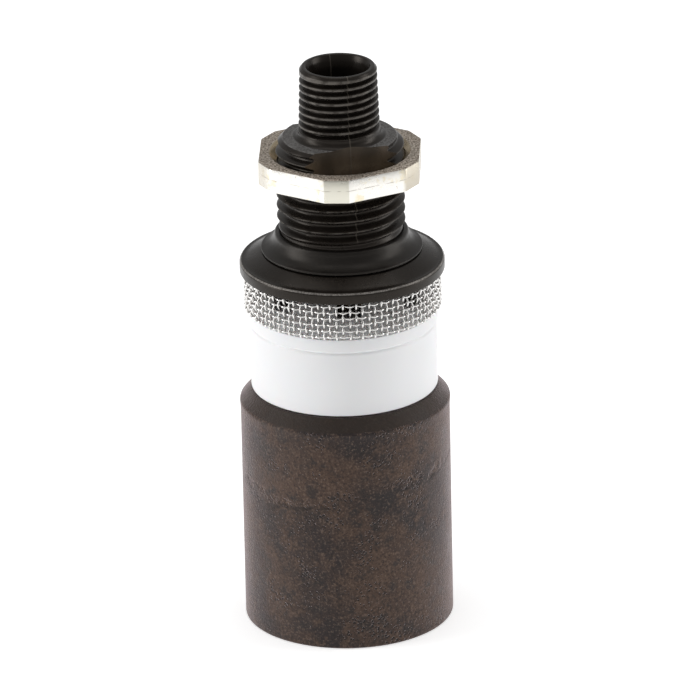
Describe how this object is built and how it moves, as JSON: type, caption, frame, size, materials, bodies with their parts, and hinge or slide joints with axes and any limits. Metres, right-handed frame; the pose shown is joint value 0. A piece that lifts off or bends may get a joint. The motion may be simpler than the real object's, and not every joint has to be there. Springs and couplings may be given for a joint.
{
  "type": "internal automatic float drain",
  "caption": "Float-operated condensate drain for a compressed-air filter bowl: threaded outlet stem, jam nut, gasket, screened body with pilot-operated piston valve, and a foam float.",
  "frame": {"origin": "centre of the float's flat end, on which the drain stands", "axes": "+Z runs along the drain's axis towards the threaded outlet, and -Y is the front"},
  "size_m": [0.0262, 0.0262, 0.0726],
  "materials": {
    "black_nylon": "moulded black nylon, satin",
    "gasket_rubber": "moulded black rubber",
    "seal_rubber": "smooth black rubber",
    "white_acetal": "turned white acetal, satin",
    "screen_wire": "woven stainless wire",
    "stainless_steel": "plain stainless steel",
    "nickel_plate": "nickel-plated brass, lightly stained",
    "brass": "turned brass",
    "float_foam": "dark brown hard closed-cell rubber, mottled and pitted"
  },
  "bodies": {
    "housing": {"outlet_stem": "black_nylon", "bowl_gasket": "gasket_rubber", "inlet_screen": "screen_wire", "drain_body": "white_acetal", "pilot_plate": "white_acetal", "plate_o_ring": "seal_rubber", "plate_screw_1": "stainless_steel", "plate_screw_2": "stainless_steel", "plate_screw_3": "stainless_steel", "pilot_nozzle": "brass", "lever_pin": "stainless_steel", "guide_rod": "stainless_steel", "rod_clip": "stainless_steel", "piston_spring": "stainless_steel"},
    "jam_nut": {"jam_nut": "nickel_plate"},
    "piston": {"piston": "white_acetal", "piston_seal": "seal_rubber", "valve_spindle": "brass", "bleed_jet": "brass", "piston_nut": "brass", "valve_seal": "seal_rubber", "valve_nut": "brass"},
    "pilot_lever": {"pilot_lever": "stainless_steel", "pilot_pad": "seal_rubber"},
    "float": {"float": "float_foam", "float_sleeve": "white_acetal", "lift_pin": "stainless_steel"}
  },
  "joints": [
    {"name": "nut_travel", "type": "slide", "parent": "housing", "child": "jam_nut", "axis": [0, 0, 1], "range_m": [-0.00564, 0.0145]},
    {"name": "piston_stroke", "type": "slide", "parent": "housing", "child": "piston", "axis": [0, 0, 1], "range_m": [0, 0.002], "stiffness_N_per_m": 150, "springref_m": -0.004, "deforming": ["piston_spring"]},
    {"name": "float_travel", "type": "slide", "parent": "housing", "child": "float", "axis": [0, 0, -1], "range_m": [0, 0.003]},
    {"name": "lever_swing", "type": "hinge", "parent": "housing", "child": "pilot_lever", "pos_m": [0.0072, 0, 0.03345], "axis": [0, -1, 0], "range_deg": [0, 13.5]}
  ],
  "couplings": [
    {"joint": "lever_swing", "follows": "float_travel", "rad_per_m": 75.758}
  ]
}
